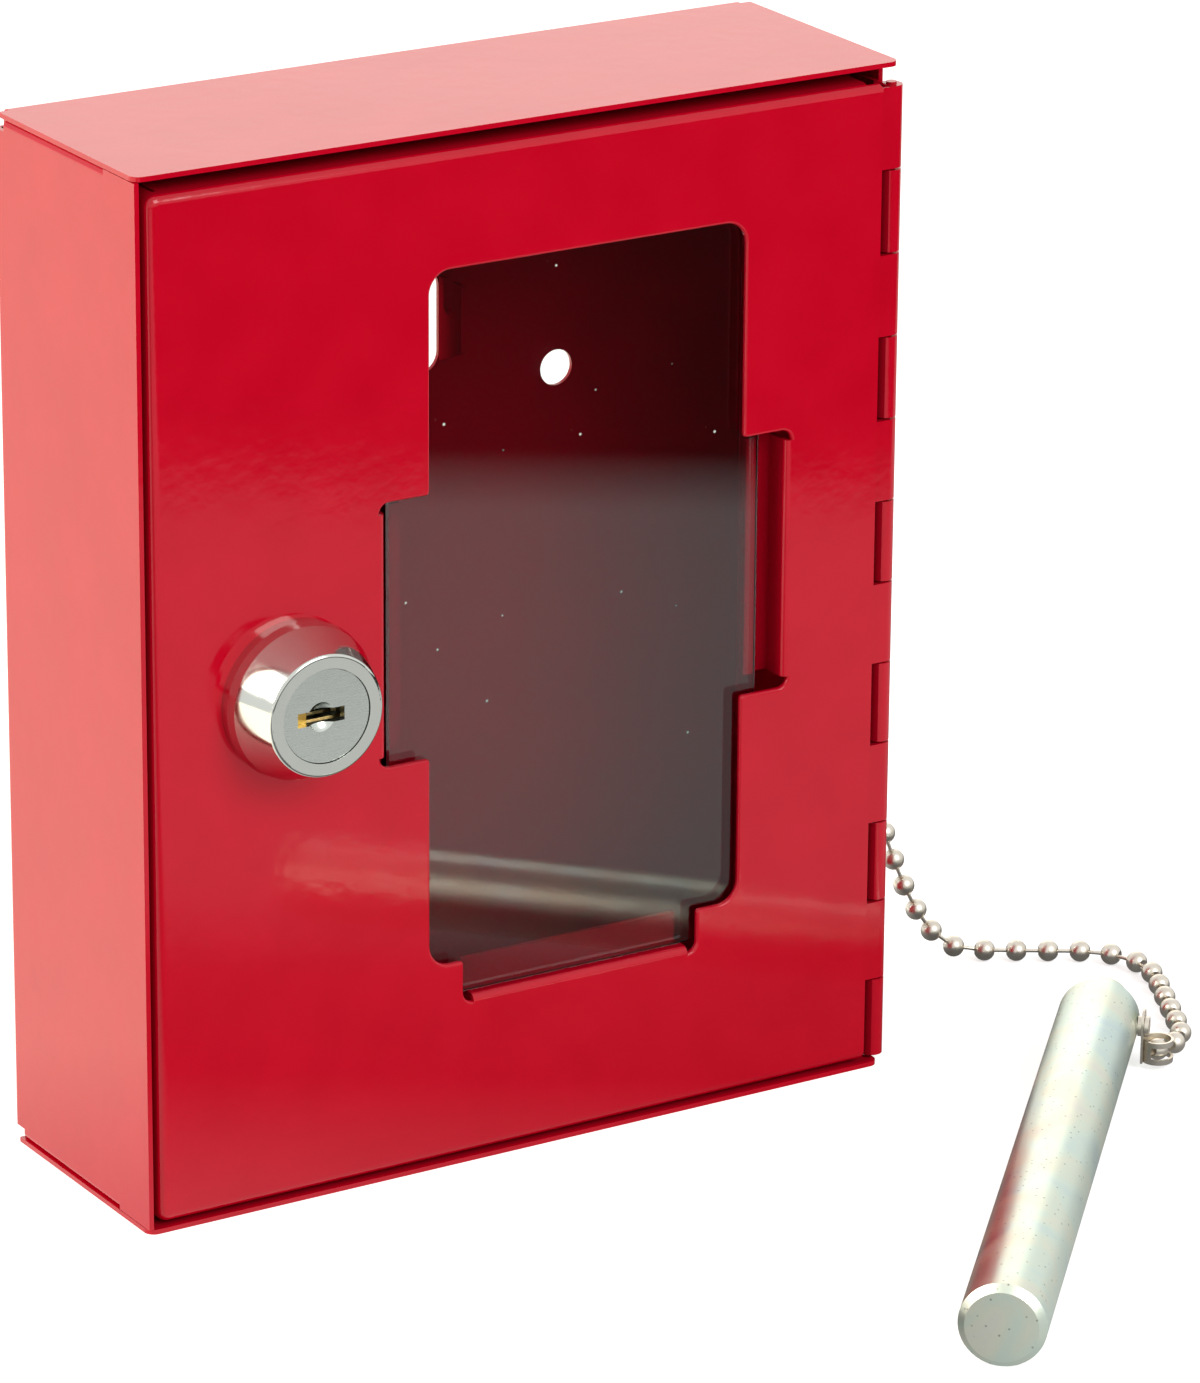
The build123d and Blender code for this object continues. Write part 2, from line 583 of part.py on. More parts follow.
def door_panel():
    """The folded door with its window, the lock hole and the hooks for the glass."""
    door = folded_door()
    door -= section_xz(window_outline(), FRONT - CUT_PAST, DOOR_INSIDE + SHEET / 2)
    front_face = door.faces().sort_by(Axis.Y)[0]
    door = fillet(front_face.inner_wires()[0].edges(), WINDOW_ROLLED_EDGE)

    hook_low, hook_high = SIDE_NOTCH_LOW + NOTCH_CORNER_RADIUS, SIDE_NOTCH_HIGH - NOTCH_CORNER_RADIUS
    side_hook = raised(glass_hook(), hook_low, hook_high)
    door += Pos(NOTCH_LEFT, 0, 0) * side_hook
    door += Pos(NOTCH_RIGHT, 0, 0) * mirror(side_hook, Plane.YZ)
    hook_left = BOTTOM_NOTCH_LEFT + NOTCH_CORNER_RADIUS
    hook_right = BOTTOM_NOTCH_RIGHT - NOTCH_CORNER_RADIUS
    upward = Plane((hook_left, 0, NOTCH_BOTTOM), x_dir=(0, 0, 1), z_dir=(1, 0, 0))
    door += upward * extrude(mirror(glass_hook(), Plane.XZ), hook_right - hook_left)

    flats = LOCK_BARREL_FLATS + 2 * LOCK_HOLE_CLEARANCE
    hole = Circle(LOCK_BARREL_RADIUS + LOCK_HOLE_CLEARANCE) & Rectangle(flats, BOX_HEIGHT)
    return door - section_xz(Pos(LOCK_X, LOCK_Z) * hole, FRONT - CUT_PAST, DOOR_INSIDE + CUT_PAST)


def glass_pane():
    """The breakable pane, standing on the bottom hook and held in front of all three."""
    front = DOOR_INSIDE + GLASS_FRONT_GAP
    pane = block(
        NOTCH_LEFT + GLASS_GAP_LEFT, NOTCH_RIGHT - GLASS_GAP_RIGHT, front, front + GLASS_THICKNESS,
        NOTCH_BOTTOM + FLANGE_GAP, WINDOW_TOP + GLASS_OVERLAP_TOP,
    )
    return chamfer(pane.edges(), GLASS_EDGE)


# ---- lock ---------------------------------------------------------------------------------------


def at_lock(solid):
    """Moves a piece from the lock's own axis to the lock's place in the door."""
    return Pos(LOCK_X, 0, LOCK_Z) * solid


def wafer_places():
    """The Y of the front face of every wafer."""
    first = LOCK_FACE_Y + PLUG_RECESS + WAFER_FIRST
    return [first + i * WAFER_PITCH for i in range(WAFER_COUNT)]


def lock_housing():
    """The plated housing: cone, rim, flatted barrel, stepped bore, wafer grooves and stop lug."""
    rim_end = FRONT - LOCK_RIM_THICKNESS
    band_end = rim_end - LOCK_BAND_THICKNESS
    half_section = make_face(
        Polyline(
            (0, FRONT),
            (LOCK_RIM_RADIUS, FRONT),
            (LOCK_RIM_RADIUS, rim_end),
            (LOCK_RIM_RADIUS - LOCK_BAND_TAPER, band_end),
            (LOCK_FACE_RADIUS + LOCK_FACE_EDGE, LOCK_FACE_Y),
            (0, LOCK_FACE_Y),
            close=True,
        )
    )
    outer_corner = points_at(half_section, (LOCK_FACE_RADIUS + LOCK_FACE_EDGE,), (LOCK_FACE_Y,))
    head = revolve(fillet(outer_corner, LOCK_FACE_EDGE), Axis.Y)
    flats = Rectangle(LOCK_BARREL_FLATS, BOX_HEIGHT)
    barrel = section_xz(Circle(LOCK_BARREL_RADIUS) & flats, FRONT, LOCK_BACK_Y)
    housing = head + barrel
    lug_half = (FULL_TURN - STOP_TURN - STOP_TAB_ANGLE - STOP_PLAY_ANGLE) / 2
    lug_start, lug_end = STOP_LUG_MIDDLE - lug_half, STOP_LUG_MIDDLE + lug_half
    lug = ring_sector(STOP_LUG_INNER_RADIUS, LOCK_BARREL_FLATS / 2, lug_start, lug_end)
    housing += section_xz(lug, LOCK_BACK_Y, STOP_WASHER_Y + STOP_WASHER_THICKNESS)
    head_bore = PLUG_HEAD_RADIUS + PLUG_CLEARANCE
    step = LOCK_FACE_Y + PLUG_RECESS + PLUG_HEAD_LENGTH + PLUG_CLEARANCE
    housing -= along_y(head_bore, LOCK_FACE_Y - CUT_PAST, step)
    housing -= along_y(PLUG_RADIUS + PLUG_CLEARANCE, step - CUT_PAST, LOCK_BACK_Y + CUT_PAST)
    groove_start = wafer_places()[0] - WAFER_CLEARANCE
    reach = PLUG_RADIUS + WAFER_GROOVE
    width = WAFER_WIDTH + 2 * WAFER_CLEARANCE
    housing -= block(-reach, reach, groove_start, LOCK_BACK_Y + CUT_PAST, -width / 2, width / 2)
    return at_lock(housing)


def lock_washer():
    """The toothed washer between the door and the nut."""
    inner = LOCK_BARREL_RADIUS + THREAD_CLEARANCE
    ring = Circle(LOCK_WASHER_RADIUS) - Circle(inner)
    depth = (LOCK_WASHER_RADIUS - inner) / 3
    for i in range(LOCK_WASHER_TEETH):
        gap = Pos(LOCK_WASHER_RADIUS, 0) * Rectangle(2 * depth, depth)
        ring -= Rot(0, 0, FULL_TURN * i / LOCK_WASHER_TEETH) * gap
    return at_lock(section_xz(ring, DOOR_INSIDE, DOOR_INSIDE + LOCK_WASHER_THICKNESS))


def lock_nut():
    """The hexagon nut that clamps the lock in the door."""
    low = DOOR_INSIDE + LOCK_WASHER_THICKNESS
    high = low + LOCK_NUT_THICKNESS
    hexagon = RegularPolygon(LOCK_NUT_ACROSS_FLATS / 2, 6, major_radius=False)
    nut = section_xz(hexagon, low, high)
    corner = LOCK_NUT_ACROSS_FLATS / math.sqrt(3)
    nut &= along_y(corner - LOCK_NUT_ROUNDING, low, high)
    nut -= along_y(LOCK_BARREL_RADIUS + THREAD_CLEARANCE, low - CUT_PAST, high + CUT_PAST)
    return at_lock(nut)


def wafer_outline(clearance):
    """A wafer in XZ: a bar that slides along X, with one ear for its spring."""
    half = WAFER_WIDTH / 2 + clearance
    past = PLUG_RADIUS + CUT_PAST
    ear_half = WAFER_EAR_WIDTH / 2 + clearance
    ear = rectangle(-ear_half, ear_half, -half - WAFER_EAR_DEPTH, 0)
    return rectangle(-past, past, -half, half) + ear


def spring_centre_z():
    return -WAFER_WIDTH / 2 - WAFER_CLEARANCE - SPRING_RADIUS - SPRING_WIRE - WAFER_CLEARANCE


def lock_plug():
    """The plug that the key turns, with its keyway, wafer slots, spring pockets and square tail."""
    front = LOCK_FACE_Y + PLUG_RECESS
    plug = along_y(PLUG_HEAD_RADIUS, front, front + PLUG_HEAD_LENGTH)
    plug += along_y(PLUG_RADIUS, front, LOCK_BACK_Y)
    tail = SCREW_WASHER_Y - PLUG_TAIL_BEFORE_SCREW_WASHER
    plug += section_xz(Rectangle(PLUG_SQUARE, PLUG_SQUARE), LOCK_BACK_Y - CUT_PAST, tail)
    keyway = Pos(KEYWAY_OFFSET, 0) * Rectangle(KEYWAY_LENGTH, KEYWAY_WIDTH)
    plug -= section_xz(keyway, front - CUT_PAST, front + KEYWAY_DEPTH)
    dish = (KEYWAY_RECESS_RADIUS ** 2 + KEYWAY_RECESS_DEPTH ** 2) / (2 * KEYWAY_RECESS_DEPTH)
    plug -= Pos(KEYWAY_OFFSET, front + KEYWAY_RECESS_DEPTH - dish, 0) * Sphere(dish)
    for y in wafer_places():
        y0, y1 = y - WAFER_CLEARANCE / 2, y + WAFER_THICKNESS + WAFER_CLEARANCE / 2
        plug -= section_xz(wafer_outline(WAFER_CLEARANCE), y0, y1)
        pocket_end = WAFER_EAR_WIDTH / 2 + SPRING_LENGTH + WAFER_CLEARANCE
        pocket_z = -WAFER_WIDTH / 2 - WAFER_EAR_DEPTH - WAFER_CLEARANCE
        plug -= block(0, pocket_end, y0, y1, pocket_z, 0)
    screw_end = SCREW_HEAD_Y - SCREW_LENGTH
    plug -= along_y(SCREW_RADIUS + THREAD_CLEARANCE, screw_end - SCREW_END_GAP, tail + CUT_PAST)
    return at_lock(plug)


def lock_wafers():
    """The brass wafers, held level with the plug as a key holds them."""
    wafers = []
    for y in wafer_places():
        outline = wafer_outline(0) & Circle(PLUG_RADIUS - WAFER_CLEARANCE / 2)
        window = Rectangle(KEYWAY_LENGTH, KEYWAY_WIDTH + 4 * WAFER_CLEARANCE)
        window = Pos(KEYWAY_OFFSET + WAFER_STEP, 0) * window
        wafers.append(at_lock(section_xz(outline - window, y, y + WAFER_THICKNESS)))
    return Compound(wafers)


def wafer_springs():
    """One small coil spring beside each wafer, between its ear and the end of its pocket."""
    springs = []
    rise = SPRING_LENGTH - 4 * SPRING_WIRE
    helix = Helix(pitch=rise / SPRING_TURNS, height=rise, radius=SPRING_RADIUS)
    wire_plane = Plane(origin=helix @ 0, z_dir=helix % 0)
    coil = sweep(wire_plane * Circle(SPRING_WIRE), path=helix)
    for y in wafer_places():
        start = WAFER_EAR_WIDTH / 2 + 2 * SPRING_WIRE
        place = Pos(start, y + WAFER_THICKNESS / 2, spring_centre_z()) * Rot(0, 90, 0)
        springs.append(at_lock(place * coil))
    return Compound(springs)


def stop_washer():
    """The washer on the plug's square whose tab runs between the ends of the housing's lug."""
    tab_start, tab_end = STOP_TAB_MIDDLE - STOP_TAB_ANGLE / 2, STOP_TAB_MIDDLE + STOP_TAB_ANGLE / 2
    tab_radius = LOCK_BARREL_FLATS / 2 - STOP_TAB_GAP
    disc = Circle(STOP_WASHER_RADIUS) + ring_sector(STOP_WASHER_RADIUS / 2, tab_radius, tab_start, tab_end)
    hole = PLUG_SQUARE + 2 * CAM_SQUARE_CLEARANCE
    disc -= Rectangle(hole, hole)
    return at_lock(section_xz(disc, STOP_WASHER_Y, STOP_WASHER_Y + STOP_WASHER_THICKNESS))


def lock_cam():
    """The cam, pointing up: the door is closed but not locked."""
    sides = (-CAM_HALF_WIDTH, CAM_HALF_WIDTH)
    bar = rectangle(*sides, 0, CAM_LENGTH)
    bar = fillet(points_at(bar, sides, (CAM_LENGTH,)), CAM_TIP_RADIUS)
    bar += Circle(CAM_HALF_WIDTH)
    hole = PLUG_SQUARE + 2 * CAM_SQUARE_CLEARANCE
    bar -= Rectangle(hole, hole)
    return at_lock(section_xz(bar, CAM_Y, CAM_Y + CAM_THICKNESS))


def cam_screw_washer():
    """The spring washer under the head of the cam screw."""
    ring = Circle(SCREW_WASHER_RADIUS) - Circle(SCREW_RADIUS + 2 * THREAD_CLEARANCE)
    ring -= Pos(SCREW_WASHER_RADIUS / 2, 0) * Rectangle(SCREW_WASHER_RADIUS, SCREW_WASHER_THICKNESS / 2)
    return at_lock(section_xz(ring, SCREW_WASHER_Y, SCREW_WASHER_Y + SCREW_WASHER_THICKNESS))


def cam_screw():
    """The slotted pan head screw that holds the cam on the plug."""
    head_end = SCREW_HEAD_Y + SCREW_HEAD_HEIGHT
    screw = along_y(SCREW_HEAD_RADIUS, SCREW_HEAD_Y, head_end)
    rim = screw.edges().filter_by(GeomType.CIRCLE).sort_by(Axis.Y)[-1]
    screw = fillet(rim, SCREW_HEAD_HEIGHT / 3)
    screw += along_y(SCREW_RADIUS, SCREW_HEAD_Y - SCREW_LENGTH, SCREW_HEAD_Y + SCREW_HEAD_HEIGHT / 2)
    slot = Rectangle(2 * SCREW_HEAD_RADIUS, SCREW_SLOT_WIDTH)
    screw -= section_xz(slot, head_end - SCREW_SLOT_DEPTH, head_end + CUT_PAST)
    return at_lock(screw)


# ---- chain --------------------------------------------------------------------------------------


def coupling():
    """A coupling round a ball at the origin: X points away from the riveted tab, Z up to its eye."""
    half = COUPLING_RING_HEIGHT / 2
    inner = COUPLING_RING_RADIUS - COUPLING_SHEET
    ring = raised(Circle(COUPLING_RING_RADIUS) - Circle(inner), -half, half)
    slot = ring_sector(inner / 2, COUPLING_RING_RADIUS + CUT_PAST, COUPLING_SLOT_FROM, COUPLING_SLOT_TO)
    ring -= raised(slot, -COUPLING_SLOT_HEIGHT / 2, COUPLING_SLOT_HEIGHT / 2)
    tab_top = COUPLING_EYE_DISTANCE + COUPLING_TAB_END
    round_end = tab_top - COUPLING_TAB_WIDTH / 2
    tab = rectangle(-COUPLING_TAB_WIDTH / 2, COUPLING_TAB_WIDTH / 2, -half, round_end)
    tab += Pos(0, round_end) * Circle(COUPLING_TAB_WIDTH / 2)
    tab -= Pos(0, COUPLING_EYE_DISTANCE) * Circle(PIN_RADIUS + EYE_CLEARANCE)
    plate = section_yz(tab, -COUPLING_RING_RADIUS, -inner)
    return ring + (plate - upright(inner, -half - CUT_PAST, half + SAME_PLACE))


def wall_coupling():
    """The coupling that holds the chain on the right wall, its slot turned down."""
    place = Plane((WALL_BALL_X, WALL_BALL_Y, WALL_BALL_Z), x_dir=(1, 0, 0), z_dir=(0, -1, 0))
    return place * coupling()


def at_wall_rivet(solid):
    """Turns a piece that is drawn along Z to the rivet's axis in the right wall; its Z becomes X."""
    return Pos(0, WALL_RIVET_Y, WALL_BALL_Z) * Rot(0, 90, 0) * solid


def wall_rivet():
    """The rivet through the eye of the wall coupling and the right wall."""
    tab_face = SIDE + WALL_COUPLING_GAP + COUPLING_SHEET + EYE_CLEARANCE
    shank = upright(WALL_RIVET_RADIUS, INNER_SIDE - WALL_RIVET_HEAD / 2, SIDE + WALL_COUPLING_GAP / 2)
    neck = upright(PIN_RADIUS, SIDE, tab_face)
    head = upright(WALL_RIVET_HEAD_RADIUS, tab_face, tab_face + WALL_RIVET_HEAD)
    head = fillet(head.edges().filter_by(GeomType.CIRCLE).sort_by(Axis.Z)[-1], WALL_RIVET_ROUNDING)
    tail = upright(WALL_RIVET_TAIL_RADIUS, INNER_SIDE - WALL_RIVET_HEAD, INNER_SIDE)
    tail = fillet(tail.edges().filter_by(GeomType.CIRCLE).sort_by(Axis.Z)[0], WALL_RIVET_ROUNDING)
    return at_wall_rivet(shank + neck + head + tail)


def hammer_coupling():
    """The coupling that holds the hammer on the chain; its tab lies on the hammer's boss."""
    place = Plane(
        (HAMMER_BALL_X, HAMMER_BALL_Y, HAMMER_BALL_Z),
        x_dir=(HAMMER_SIDE[0], HAMMER_SIDE[1], 0), z_dir=(0, 0, 1),
    )
    return place * coupling()


def chain_radii():
    """The radius of each arc of the route: 0.45 of its shorter run over the tangent of half its turn."""
    radii = []
    for a, b, c in zip(CHAIN_ROUTE, CHAIN_ROUTE[1:], CHAIN_ROUTE[2:]):
        first, second = Vector(*b) - Vector(*a), Vector(*c) - Vector(*b)
        half_turn = math.radians(first.get_angle(second)) / 2
        radii.append(0.45 * min(first.length, second.length) / math.tan(half_turn))
    return radii


def chain_ball():
    """A hollow ball at the origin with a hole at each end of Z."""
    inner = BALL_RADIUS - BALL_WALL
    outer_end = math.sqrt(BALL_RADIUS ** 2 - BALL_HOLE_RADIUS ** 2)
    inner_end = math.sqrt(inner ** 2 - BALL_HOLE_RADIUS ** 2)
    outline = ThreePointArc((BALL_HOLE_RADIUS, -outer_end), (BALL_RADIUS, 0), (BALL_HOLE_RADIUS, outer_end))
    outline += Line((BALL_HOLE_RADIUS, outer_end), (BALL_HOLE_RADIUS, inner_end))
    outline += ThreePointArc((BALL_HOLE_RADIUS, inner_end), (inner, 0), (BALL_HOLE_RADIUS, -inner_end))
    outline += Line((BALL_HOLE_RADIUS, -inner_end), (BALL_HOLE_RADIUS, -outer_end))
    return revolve(Plane.XZ * make_face(outline), Axis.Z)


def chain_link(span):
    """A rod with a flat head at each end, between two balls that are span apart along Z."""
    low, high = LINK_HEAD_INSET, span - LINK_HEAD_INSET
    outline = Polyline(
        (0, low), (LINK_HEAD_RADIUS, low), (LINK_HEAD_RADIUS, low + LINK_HEAD_THICKNESS),
        (LINK_RADIUS, low + LINK_HEAD_THICKNESS), (LINK_RADIUS, high - LINK_HEAD_THICKNESS),
        (LINK_HEAD_RADIUS, high - LINK_HEAD_THICKNESS), (LINK_HEAD_RADIUS, high), (0, high), close=True,
    )
    return revolve(Plane.XZ * make_face(outline), Axis.Z)


def chain_balls_and_links():
    """Hollow balls at an even pitch along the route, and the rods whose heads are held in them."""
    route = FilletPolyline(*CHAIN_ROUTE, radius=chain_radii())
    count = round(route.length / BALL_PITCH) + 1
    places = [route @ (i / (count - 1)) for i in range(count)]
    print("chain:", count, "balls on", round(route.length, 1), "mm")
    print("radii of the route:", [round(r, 1) for r in chain_radii()])
    balls, links = [], []
    for i, place in enumerate(places):
        way = places[min(i + 1, count - 1)] - places[max(i - 1, 0)]
        balls.append(Plane(place, z_dir=way) * chain_ball())
    for a, b in zip(places, places[1:]):
        links.append(Plane(a, z_dir=b - a) * chain_link((b - a).length))
    return Compound(balls), Compound(links)


# ---- hammer -------------------------------------------------------------------------------------


def hammer_rod():
    """A round bar with a chamfered striking face, a shoulder and a nub at the chain end."""
    shoulder = HAMMER_RADIUS - HAMMER_NUB_RADIUS
    nub_start = HAMMER_BODY_LENGTH + shoulder
    end = nub_start + HAMMER_NUB_LENGTH
    outline = make_face(
        Polyline(
            (0, 0),
            (HAMMER_RADIUS - HAMMER_FACE_CHAMFER, 0),
            (HAMMER_RADIUS, HAMMER_FACE_CHAMFER),
            (HAMMER_RADIUS, HAMMER_BODY_LENGTH),
            (HAMMER_NUB_RADIUS, nub_start),
            (HAMMER_NUB_RADIUS, end - HAMMER_NUB_EDGE),
            (HAMMER_NUB_RADIUS - HAMMER_NUB_EDGE, end),
            (0, end),
            close=True,
        )
    )
    rod = revolve(outline, Axis.Y)
    hole = Pos(HAMMER_RADIUS - PIN_DEPTH / 2, PIN_FROM_FACE, 0) * Rot(0, 90, 0)
    rod -= hole * Cylinder(PIN_RADIUS + RIVET_FIT, PIN_DEPTH + 2 * RIVET_FIT)
    return on_hammer(rod)


def on_hammer(solid):
    """Lays a piece that is drawn along +Y from the striking face where the hammer lies."""
    corner = (HAMMER_FACE_X, HAMMER_FACE_Y, HAMMER_RADIUS)
    return Plane(corner, x_dir=(HAMMER_SIDE[0], HAMMER_SIDE[1], 0), z_dir=(0, 0, 1)) * solid


def coupling_pin():
    """The headed pin in the side of the hammer that the coupling turns on."""
    turn = Pos(0, PIN_FROM_FACE, 0) * Rot(0, 90, 0)
    tab_face = HAMMER_RADIUS + PIN_BOSS_LENGTH + COUPLING_SHEET + EYE_CLEARANCE
    pin = turn * upright(PIN_RADIUS, HAMMER_RADIUS - PIN_DEPTH, tab_face + PIN_HEAD / 2)
    pin += turn * upright(PIN_BOSS_RADIUS, HAMMER_RADIUS, HAMMER_RADIUS + PIN_BOSS_LENGTH - EYE_CLEARANCE)
    pin += turn * upright(PIN_HEAD_RADIUS, tab_face, tab_face + PIN_HEAD)
    return on_hammer(pin)


# ---- build --------------------------------------------------------------------------------------

chain_balls, chain_links = chain_balls_and_links()
NODES = {
    "box_shell": box_shell(),
    "strike_bracket": strike_bracket(),
    "body_hinge_leaf": body_hinge_leaf(),
    "hinge_pin": hinge_pin(),
    "door_panel": door_panel(),
    "door_hinge_leaf": door_hinge_leaf(),
    "glass_pane": glass_pane(),
    "lock_housing": lock_housing(),
    "lock_washer": lock_washer(),
    "lock_nut": lock_nut(),
    "lock_plug": lock_plug(),
    "lock_wafers": lock_wafers(),
    "wafer_springs": wafer_springs(),
    "stop_washer": stop_washer(),
    "lock_cam": lock_cam(),
    "cam_screw_washer": cam_screw_washer(),
    "cam_screw": cam_screw(),
    "wall_rivet": wall_rivet(),
    "wall_coupling": wall_coupling(),
    "chain_balls": chain_balls,
    "chain_links": chain_links,
    "hammer_coupling": hammer_coupling(),
    "coupling_pin": coupling_pin(),
    "hammer_rod": hammer_rod(),
}

os.makedirs("parts", exist_ok=True)
for name, solid in NODES.items():
    export_step(solid, f"parts/{name}.step")
    print(name, round(solid.volume, 1))
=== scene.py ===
# %% [markdown]
# A small wall box for an emergency key: folded sheet steel with a glossy red powder coat, a pane of glass
# that is struck out with a zinc plated steel bar, and a bead chain that keeps the bar with the box.
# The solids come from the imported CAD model. This script gives them their finishes, remakes the chain from
# its own route, and sets up the floor, the light and the camera.

# %% Load the frame
import bpy
import bmesh
import math
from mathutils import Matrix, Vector


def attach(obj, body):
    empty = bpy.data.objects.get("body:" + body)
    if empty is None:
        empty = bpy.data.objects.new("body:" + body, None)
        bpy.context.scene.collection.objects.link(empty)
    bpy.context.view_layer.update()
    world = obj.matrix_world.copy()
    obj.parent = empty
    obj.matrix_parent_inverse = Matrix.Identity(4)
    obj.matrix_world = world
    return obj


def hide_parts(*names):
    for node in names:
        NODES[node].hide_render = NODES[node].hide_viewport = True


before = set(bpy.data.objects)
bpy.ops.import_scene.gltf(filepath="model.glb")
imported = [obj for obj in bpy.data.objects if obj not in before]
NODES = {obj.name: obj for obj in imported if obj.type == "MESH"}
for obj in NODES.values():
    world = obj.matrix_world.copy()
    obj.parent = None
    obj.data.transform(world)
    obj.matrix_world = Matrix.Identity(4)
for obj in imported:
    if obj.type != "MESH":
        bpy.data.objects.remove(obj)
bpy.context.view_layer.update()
MM = 0.001

# %% [markdown]
# A camera far away with a long lens sees the box almost without perspective, as the photograph does. Its
# place and lens were worked out from the corners of the box. The photograph's uprights were straightened
# after it was taken, so its corners and the render's lie some pixels apart.

# %% Camera
# The focal length is in pixels of a picture that is PHOTO_WIDTH pixels wide.
PHOTO_WIDTH = 1200
FOCAL_PIXELS = 7238.8
SENSOR = 36.0
camera_data = bpy.data.cameras.new("camera")
camera_data.sensor_fit = "HORIZONTAL"
camera_data.sensor_width = SENSOR
camera_data.lens = FOCAL_PIXELS / PHOTO_WIDTH * SENSOR
camera_data.clip_start = 0.01
camera = bpy.data.objects.new("camera", camera_data)
CAMERA_PLACE = (-0.48697, -0.82388, 0.40365)
CAMERA_TURN = (70.368, -0.4087, -31.6768)
camera.location = CAMERA_PLACE
camera.rotation_euler = [math.radians(a) for a in CAMERA_TURN]
bpy.context.scene.collection.objects.link(camera)
bpy.context.scene.camera = camera
print("lens:", round(camera_data.lens, 1), "mm")

# %% [markdown]
# Colours are written as the hex values that a colour picker shows. Blender calculates in linear light, so
# one function turns the one into the other. Another adds a shader node with its settings and links, and a
# third starts each material from the Principled shader.

# %% Colour and material helpers
def linear(hex_colour):
    """sRGB hex to a linear colour with alpha 1."""
    channels = [int(hex_colour[i:i + 2], 16) / 255 for i in (1, 3, 5)]
    return [c / 12.92 if c <= 0.04045 else ((c + 0.055) / 1.055) ** 2.4 for c in channels] + [1.0]


def add(tree, kind, inputs=None, stops=(), **settings):
    """Adds a node. An input's value is a socket to link from, or a plain value to set.

    The stops of a colour ramp are pairs of a position and a grey or a linear colour.
    """
    node = tree.nodes.new(kind)
    elements = node.color_ramp.elements if stops else []
    while len(elements) < len(stops):
        elements.new(0.5)
    for element, (position, colour) in zip(elements, stops):
        element.position = position
        element.color = colour if hasattr(colour, "__len__") else (colour, colour, colour, 1.0)
    for name, value in settings.items():
        setattr(node, name, value)
    for name, value in (inputs or {}).items():
        socket = node.inputs[name]
        if isinstance(value, bpy.types.NodeSocket):
            tree.links.new(value, socket)
        else:
            socket.default_value = value
    return node


def new_material(name, **principled):
    """A material with one Principled shader; each keyword sets a socket, with _ for a space."""
    material = bpy.data.materials.new(name)
    material.use_nodes = True
    tree = material.node_tree
    shader = tree.nodes["Principled BSDF"]
    for key, value in principled.items():
        shader.inputs[key.replace("_", " ")].default_value = value
    return material, tree, shader


def dress(material, *names):
    """Gives CAD nodes a material in every slot."""
    for name in names:
        for slot in NODES[name].material_slots:
            slot.material = material


# %% [markdown]
# Powder coat melts into a thick, glossy skin with a fine orange peel: gentle waves two or three millimetres
# across and only some thousandths high. They barely show in the colour, but they fray the edge of every
# reflection, so they are made with a bump and not with a pattern. A second, wider wave is the sheet itself,
# which is never quite flat after it has been bent.

# %% Red powder coat
ORANGE_PEEL = 2.6 * MM
ORANGE_PEEL_HEIGHT = 0.022 * MM
SHEET_WAVE = 28 * MM
SHEET_WAVE_HEIGHT = 0.09 * MM

powder_coat, tree, shader = new_material("powder_coat_red", Roughness=0.09, IOR=1.45)
place = add(tree, "ShaderNodeTexCoord").outputs["Object"]
peel = add(tree, "ShaderNodeTexNoise", {"Vector": place, "Scale": 1 / ORANGE_PEEL, "Detail": 2.0})
wave = add(tree, "ShaderNodeTexNoise", {"Vector": place, "Scale": 1 / SHEET_WAVE, "Detail": 0.0})
wave_bump = add(tree, "ShaderNodeBump", {"Height": wave.outputs["Fac"], "Distance": SHEET_WAVE_HEIGHT})
peel_bump = add(
    tree, "ShaderNodeBump",
    {"Height": peel.outputs["Fac"], "Distance": ORANGE_PEEL_HEIGHT, "Normal": wave_bump.outputs["Normal"]},
)
tree.links.new(peel_bump.outputs["Normal"], shader.inputs["Normal"])
TONE_PATCH = 9 * MM
tone = add(tree, "ShaderNodeTexNoise", {"Vector": place, "Scale": 1 / TONE_PATCH, "Detail": 3.0})
coat_colour = add(
    tree, "ShaderNodeValToRGB", {"Fac": tone.outputs["Fac"]},
    stops=[(0.3, linear("#C20020")), (0.7, linear("#C80424"))],
)
tree.links.new(coat_colour.outputs["Color"], shader.inputs["Base Color"])

# Inside the closed shape the coat is made matt and a darker red: the darker red is painted shade for the
# dim inside of the box.
INSIDE_HALF_WIDTH = 59.2 * MM
INSIDE_FRONT = -19.2 * MM
INSIDE_BACK = 19.4 * MM
INSIDE_FLOOR = 0.6 * MM
INSIDE_TOP = 149.4 * MM
spot = add(tree, "ShaderNodeSeparateXYZ", {"Vector": place})
across = add(tree, "ShaderNodeMath", {0: spot.outputs["X"]}, operation="ABSOLUTE")
inside = add(tree, "ShaderNodeMath", {0: across.outputs[0], 1: INSIDE_HALF_WIDTH}, operation="LESS_THAN")
for axis, limit, side in (
    ("Y", INSIDE_FRONT, "GREATER_THAN"), ("Y", INSIDE_BACK, "LESS_THAN"),
    ("Z", INSIDE_FLOOR, "GREATER_THAN"), ("Z", INSIDE_TOP, "LESS_THAN"),
):
    test = add(tree, "ShaderNodeMath", {0: spot.outputs[axis], 1: limit}, operation=side)
    inside = add(tree, "ShaderNodeMath", {0: inside.outputs[0], 1: test.outputs[0]}, operation="MULTIPLY")
# Painted shade: the inside walls get a darker matt red than the coat, mixed in by place.
inside_painted_shade = add(tree, "ShaderNodeBsdfDiffuse", {"Color": linear("#A0061C"), "Roughness": 0.5})
coat_with_inside_shade = add(tree, "ShaderNodeMixShader", {"Fac": inside.outputs[0]})
tree.links.new(shader.outputs["BSDF"], coat_with_inside_shade.inputs[1])
tree.links.new(inside_painted_shade.outputs[0], coat_with_inside_shade.inputs[2])
tree.links.new(coat_with_inside_shade.outputs[0], tree.nodes["Material Output"].inputs["Surface"])
